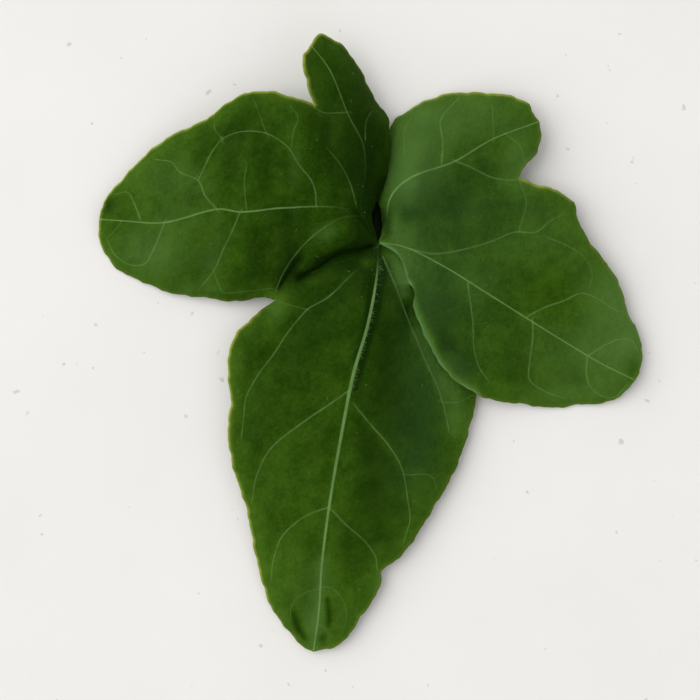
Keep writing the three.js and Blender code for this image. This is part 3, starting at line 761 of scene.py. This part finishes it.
def looks_of(points, lobes, edge, facing):
    """What the leaf's material reads, beside the measures of the veins."""
    sides = side_of(lobes)
    radius = from_junction(points)
    low, high, most = np.array(MAIN_SHOWN)[lobes].T
    # The rim is painted lighter where the margin faces the lamp.
    lit_share = LIT_RIM["least"] + (1 - LIT_RIM["least"]) * smoothstep(facing, *LIT_RIM["turn"])
    return dict(
        edge=edge,
        # painted shade and painted light
        shade_and_light=np.clip(summed(points, sides, SHADE_AND_LIGHT_PATCHES, blotch) + summed(points, sides, SHADE_AND_HIGHLIGHT_BANDS, band), -1, 1.5),
        main_shown=most * smoothstep(radius, low, high),
        side_shown=np.maximum(smoothstep(points[:, 0], *SIDE_SHOWN_X), smoothstep(radius, *SIDE_SHOWN)),
        # painted sheen
        painted_sheen=summed(points, sides, SHEEN_PATCHES, blotch),
        # the margin's pale rim, painted lighter where it faces the lamp
        rim=smoothstep(edge, LIT_RIM["width"], 0) * lit_share * smoothstep(radius, *LIT_RIM["start"]),
    )


def add_object(name, data):
    obj = bpy.data.objects.new(name, data)
    bpy.context.scene.collection.objects.link(obj)
    return obj


def mesh_object(name, points, faces, material):
    """A smooth mesh in the row frame, in metres, from points in millimetres."""
    mesh = bpy.data.meshes.new(name)
    shift = np.array([JUNCTION[0], JUNCTION[1], -DROP])
    mesh.vertices.add(len(points))
    mesh.vertices.foreach_set("co", ((points + shift) * MM).astype(np.float32).ravel())
    mesh.loops.add(faces.size)
    mesh.loops.foreach_set("vertex_index", faces.astype(np.int32).ravel())
    mesh.polygons.add(len(faces))
    mesh.polygons.foreach_set("loop_start", np.arange(0, faces.size, faces.shape[1], dtype=np.int32))
    mesh.polygons.foreach_set("use_smooth", np.ones(len(faces), bool))
    mesh.update(calc_edges=True)
    mesh.validate()
    assert len(mesh.polygons) == len(faces)
    mesh.materials.append(material)
    return add_object(name, mesh)


def set_attribute(obj, name, values):
    layer = obj.data.attributes.new(name, "FLOAT", "POINT")
    layer.data.foreach_set("value", values.astype(np.float32))


def map_places(points, faces, face_lobes):
    """Where each corner of each face is on the map, with every lobe laid flat by itself."""
    places = np.zeros((len(faces), 3, 2))
    for i, lobe in enumerate(LOBES):
        mine = face_lobes == i
        ahead, across = towards(lobe["heading"]), towards(lobe["heading"] - 90)
        flat = points[faces[mine]][:, :, :2]
        places[mine] = np.stack([flat @ across + MAP["centres"][i], flat @ ahead + MAP["foot"]], -1)
    return places


def add_map(obj, upper, bulge, margin, faces, face_lobes):
    """A map to bake on, with the margin as a strip round the upper side."""
    skin = (len(faces) - 4 * len(margin)) // 2
    flat = np.vstack([upper, upper, bulge])
    places = map_places(flat, faces, face_lobes)
    places[skin:2 * skin, :, 1] += MAP["underside"]
    flat[len(upper) + margin] += MAP["widen"] * (bulge - upper[margin])
    places[2 * skin:] = map_places(flat, faces[2 * skin:], face_lobes[2 * skin:])
    layer = obj.data.uv_layers.new(name="OFBake")
    layer.uv.foreach_set("vector", (places / MAP["size"]).astype(np.float32).reshape(-1))


def build_blade(material):
    points, quads, lobes, quad_lobes = middle_surface()
    tris, source = triangles_of(quads)
    count, sides = len(points), side_of(lobes)
    rim = margin_of(tris, count)
    margin = rim[:, 0]
    edge, nearest = margin_distance(points, sides, margin)
    veins = vein_measures(points, sides)
    points[:, 2] += relief(points, sides, veins, edge)
    normal = normals_of(points, tris)
    outward = outward_of(points, rim, normal)
    upper, lower = skins(points, normal, veins, edge)
    bulge = points[margin] + outward * MARGIN_BULGE
    everything = np.vstack([upper, lower, bulge])
    faces = np.vstack([tris, tris[:, ::-1] + count, rim_faces(rim, count)])
    obj = mesh_object("leaf_blade", everything, faces, material)
    # How far each margin point faces the lamp, for the rim's painted light.
    facing = np.zeros(count)
    facing[margin] = outward[:, :2] @ towards(LIT_RIM["faces"])
    for name, values in {**veins, **looks_of(points, lobes, edge, facing[nearest])}.items():
        set_attribute(obj, name, np.concatenate([values, values, values[margin]]))
    set_attribute(obj, "radius", from_junction(everything))
    set_attribute(obj, "under", np.repeat([0, 1, 0.5], [count, count, len(rim)]))
    face_lobes = np.concatenate([quad_lobes[source], quad_lobes[source], np.repeat(lobes[margin], 4)])
    add_map(obj, upper, bulge, margin, faces, face_lobes)
    return obj, upper


class Nodes:
    """Short ways to add shader nodes."""

    def __init__(self, name):
        self.material = bpy.data.materials.new(name)
        self.material.use_nodes = True
        self.tree = self.material.node_tree
        self.shader = self.tree.nodes["Principled BSDF"]

    def add(self, kind, **values):
        node = self.tree.nodes.new("ShaderNode" + kind)
        for key, value in values.items():
            setattr(node, key, value)
        return node

    def put(self, value, socket):
        if isinstance(value, (int, float, tuple)):
            socket.default_value = value
        else:
            self.tree.links.new(value, socket)

    def attribute(self, name):
        return self.add("Attribute", attribute_name=name).outputs["Fac"]

    def math(self, operation, a, b=0.0, clamp=False):
        node = self.add("Math", operation=operation, use_clamp=clamp)
        self.put(a, node.inputs[0])
        self.put(b, node.inputs[1])
        return node.outputs[0]

    def times(self, a, b, clamp=False):
        return self.math("MULTIPLY", a, b, clamp)

    def ramp(self, value, low, high):
        """0 at low, 1 at high, smooth between."""
        node = self.add("MapRange", interpolation_type="SMOOTHSTEP")
        self.put(value, node.inputs["Value"])
        self.put(low, node.inputs["From Min"])
        self.put(high, node.inputs["From Max"])
        return node.outputs["Result"]

    def mix(self, share, a, b):
        """The colour a with this share of the colour b. Sockets 6 and 7 are the node's colours A and B."""
        node = self.add("Mix", data_type="RGBA")
        self.put(share, node.inputs["Factor"])
        self.put(a, node.inputs[6])
        self.put(b, node.inputs[7])
        return node.outputs[2]

    def noise(self, scale, detail, roughness):
        """Noise with features about 1 / scale millimetres across."""
        node = self.add("TexNoise")
        self.put(self.add("TexCoord").outputs["Object"], node.inputs["Vector"])
        self.put(scale / MM, node.inputs["Scale"])
        self.put(detail, node.inputs["Detail"])
        self.put(roughness, node.inputs["Roughness"])
        return node.outputs["Fac"]

    def bump(self, height, distance):
        node = self.add("Bump")
        self.put(1.0, node.inputs["Strength"])
        self.put(distance * MM, node.inputs["Distance"])
        self.put(height, node.inputs["Height"])
        self.put(node.outputs["Normal"], self.shader.inputs["Normal"])

    def finished(self, colour, roughness, specular):
        self.put(colour, self.shader.inputs["Base Color"])
        self.put(roughness, self.shader.inputs["Roughness"])
        self.put(specular, self.shader.inputs["Specular IOR Level"])
        return self.material


def vein_mask(n, name):
    """1 on a vein, 0 off it."""
    reach, soft = VEIN_MASKS[name]
    across = n.math("ABSOLUTE", n.attribute(name + "_across"))
    inside = n.math("SUBTRACT", 1.0, n.ramp(across, 1.0 - soft, 1.0 + soft))
    near = n.math("SUBTRACT", 1.0, n.ramp(n.attribute(name + "_far"), reach, reach * 2))
    return n.times(inside, near)


def mottled_green(n):
    """The green of the blade, which is lighter outwards and near the margin."""
    mottle = n.times(n.ramp(n.noise(0.35, 6.0, 0.75), 0.32, 0.7), LIGHTER["mottle"])
    grain = n.times(n.ramp(n.noise(3.0, 3.0, 0.7), 0.3, 0.7), LIGHTER["grain"])
    mottle = n.math("ADD", mottle, n.math("SUBTRACT", grain, LIGHTER["less"]))
    outer = n.times(n.ramp(n.attribute("radius"), 4.0, 40.0), LIGHTER["outer"])
    brim = n.times(n.ramp(n.attribute("edge"), 0.0, 3.0), LIGHTER["brim"])
    brim = n.math("SUBTRACT", LIGHTER["brim"], brim)
    light = n.math("ADD", n.math("ADD", mottle, outer), brim, clamp=True)
    return n.mix(light, DARK_GREEN, LIGHT_GREEN)


def shaded_and_lit(n, colour):
    # Painted shade darkens the green, and painted light pales it.
    shade_and_light = n.attribute("shade_and_light")
    colour = n.mix(n.times(shade_and_light, -PAINTED_LIGHT_RATES["darker"], clamp=True), colour, PAINTED_SHADE_GREEN)
    colour = n.mix(n.times(shade_and_light, PAINTED_LIGHT_RATES["paler"], clamp=True), colour, PAINTED_LIGHT_GREEN)
    # Painted sheen, greyer and bluer.
    colour = n.mix(n.attribute("painted_sheen"), colour, SHEEN_GREEN)
    # A painted highlight along folds, where the amount is highest.
    highlight = n.times(n.math("SUBTRACT", shade_and_light, PAINTED_LIGHT_RATES["highlight_from"]), PAINTED_LIGHT_RATES["highlight"], clamp=True)
    return n.mix(highlight, colour, HIGHLIGHT_GREEN)


def veined(n, colour, main, second, third):
    """The colour with the veins over it. They waver, and the main ones least."""
    waver = n.math("ADD", 0.55, n.times(n.ramp(n.noise(0.5, 2.0, 0.5), 0.3, 0.7), 0.45))
    colour = n.mix(n.times(third, n.times(waver, 0.27)), colour, VEIN_GREEN)
    side = n.times(second, n.attribute("side_shown"))
    colour = n.mix(n.times(side, n.times(waver, 0.43)), colour, VEIN_GREEN)
    shown = n.times(main, n.attribute("main_shown"))
    return n.mix(n.times(shown, n.math("ADD", n.times(waver, 0.6), 0.35)), colour, VEIN_GREEN)


def leaf_material():
    n = Nodes("leaf")
    main, second, third = (vein_mask(n, name) for name in ("main", "second", "third"))
    upper = veined(n, shaded_and_lit(n, mottled_green(n)), main, second, third)
    under = n.mix(n.math("MAXIMUM", main, second), UNDER_GREEN, UNDER_VEIN)
    colour = n.mix(n.ramp(n.attribute("under"), 0.3, 0.7), upper, under)
    # The margin's pale rim, painted lighter where it faces the lamp.
    colour = n.mix(n.times(n.attribute("rim"), 0.9), colour, LIT_MARGIN_GREEN)
    n.bump(n.math("ADD", n.times(n.noise(1.6, 4.0, 0.65), 0.5), n.noise(0.45, 2.0, 0.5)), 0.3)
    return n.finished(colour, 0.5, 0.015)


def mottled(n, colour):
    darker = (*(0.6 * c for c in colour[:3]), 1)
    return n.mix(n.ramp(n.noise(1.5, 3.0, 0.6), 0.2, 0.8), darker, colour)


def hair_material():
    n = Nodes("hairs")
    return n.finished(mottled(n, HAIR_COLOUR), 0.6, 0.04)


def stalk_material():
    """Painted shade: nearly black on top, where it lies in shade in the hollow, and its own brown where it
    faces down.
    """
    n = Nodes("stalk")
    normal = n.add("SeparateXYZ")
    n.put(n.add("NewGeometry").outputs["Normal"], normal.inputs[0])
    colour = n.mix(n.ramp(normal.outputs["Z"], -0.5, 0.1), mottled(n, STALK_BROWN), STALK_PAINTED_SHADE)
    return n.finished(colour, 0.6, 0.04)


def floor_material():
    n = Nodes("floor")
    colour = n.mix(n.ramp(n.noise(0.03, 5.0, 0.6), 0.3, 0.7), *FLOOR_SHADES)
    speck = n.times(n.ramp(n.noise(0.7, 2.0, 0.4), 0.725, 0.76), 0.5)
    return n.finished(n.mix(speck, colour, SPECK_GREY), 0.7, 0.5)


def tube(path, radii, sides):
    """A closed tube around a path."""
    along = unit(np.gradient(path, axis=0))
    side = unit(np.cross(along, ASKEW))
    across = np.cross(along, side)
    a = 2 * math.pi * np.arange(sides) / sides
    ring = np.cos(a)[None, :, None] * side[:, None] + np.sin(a)[None, :, None] * across[:, None]
    points = (path[:, None] + ring * np.asarray(radii)[:, None, None]).reshape(-1, 3)
    return points, tube_faces(len(path), sides)


def tube_faces(rings, sides):
    k = np.arange(sides)
    faces = []
    for i in range(rings - 1):
        p, q = i * sides + k, i * sides + (k + 1) % sides
        faces += [np.stack([p, p + sides, q + sides], 1), np.stack([p, q + sides, q], 1)]
    last = (rings - 1) * sides
    m = np.arange(1, sides - 1)
    faces += [np.stack([0 * m, m, m + 1], 1), np.stack([last + 0 * m, last + m + 1, last + m], 1)]
    return np.vstack(faces)


def build_stalk(material):
    start, end = (np.array(STALK[key]) + (0, 0, JUNCTION[2]) for key in ("start", "end"))
    share = np.linspace(0, 1, STALK["rings"] + 1)
    path = start + (end - start) * share[:, None]
    path[:, 2] -= 4 * STALK["droop"] * share * (1 - share)
    radii = np.interp(share, (0, STALK["thick_at"], 1), (STALK["neck"], STALK["thick"], STALK["thin"]))
    return mesh_object("leaf_stalk", *tube(path, radii, STALK["sides"]), material)


def hair(root, heading, rise, length, radius):
    """A thin hair that levels out and tapers."""
    share = np.linspace(0, 1, 4)[:, None]
    flat = length * share * np.array([*towards(heading), 0])
    lift = length * rise * (share - 0.45 * share**2) * np.array([0, 0, 1.0])
    return tube(root + flat + lift, radius * (1 - 0.7 * share[:, 0]), 3)


def grown(kind, roots, surface, tree, rng):
    for _ in range(kind["count"]):
        x, y = roots[rng.integers(len(roots))]
        heading, length = rng.uniform(*kind["heading"]), rng.uniform(*kind["length"])
        root = surface[tree.find((x, y, 0))[1]]
        yield hair(root, heading, kind["rise"], length, kind["radius"])


def build_hairs(material, surface):
    """Fine hairs beside the upper part of the midrib, and tiny scales scattered over the blade."""
    rng = np.random.default_rng(SEED + 1)
    tree = tree_of(flattened(surface), range(len(surface)))
    midrib = vein_line(LOBES[MIDDLE], VEIN_COLUMNS)[HAIRY, :2] + BESIDE_RIB
    hairs = [*grown(HAIRS, midrib, surface, tree, rng), *grown(SCALES, surface[:, :2], surface, tree, rng)]
    points, faces, count = [], [], 0
    for p, f in hairs:
        points.append(p)
        faces.append(f + count)
        count += len(p)
    return mesh_object("leaf_hairs", np.vstack(points), np.vstack(faces), material)


def build_floor():
    corners = [(-1, -1), (1, -1), (1, 1), (-1, 1)]
    points = np.array([(FLOOR_HALF * x, FLOOR_HALF * y, DROP) for x, y in corners])
    return mesh_object("floor", points, np.array([[0, 1, 2, 3]]), floor_material())


def build_lamp():
    light = bpy.data.lights.new("window", "AREA")
    light.shape = "SQUARE"
    light.size, light.energy, light.color = LAMP["size"], LAMP["energy"], LAMP["colour"]
    lamp = add_object("window", light)
    elevation = math.radians(LAMP["elevation"])
    flat = math.cos(elevation) * towards(LAMP["azimuth"])
    lamp.location = LAMP["distance"] * Vector((*flat, math.sin(elevation)))
    lamp.rotation_euler = (-lamp.location).to_track_quat("-Z", "Y").to_euler()


def build_sky():
    world = bpy.data.worlds.new("room")
    world.use_nodes = True
    tree = world.node_tree
    background = tree.nodes["Background"]
    background.inputs["Color"].default_value = SKY["colour"]
    height = tree.nodes.new("ShaderNodeSeparateXYZ")
    tree.links.new(tree.nodes.new("ShaderNodeTexCoord").outputs["Generated"], height.inputs[0])
    fall = tree.nodes.new("ShaderNodeMapRange")
    for name, value in zip(("From Min", "To Min", "From Max", "To Max"), (*SKY["low"], *SKY["high"])):
        fall.inputs[name].default_value = value
    tree.links.new(height.outputs["Z"], fall.inputs["Value"])
    tree.links.new(fall.outputs["Result"], background.inputs["Strength"])
    bpy.context.scene.world = world


def build_camera():
    data = bpy.data.cameras.new("camera")
    data.lens = CAMERA["lens"]
    data.sensor_width = CAMERA["sensor"]
    data.clip_start = 0.01
    distance = CAMERA["width"] * data.lens / data.sensor_width
    camera = add_object("camera", data)
    camera.location = Vector((CAMERA["x"], CAMERA["y"], distance + CAMERA["above"])) * MM
    bpy.context.scene.camera = camera


def main():
    leaf, upper = build_blade(leaf_material())
    stalk = build_stalk(stalk_material())
    hairs = build_hairs(hair_material(), upper)
    for piece in (leaf, stalk, hairs):
        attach(piece, "root")
        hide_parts("leaf")
    build_floor()
    build_lamp()
    build_sky()
    build_camera()
    bpy.context.scene.view_settings.view_transform = "Standard"


main()
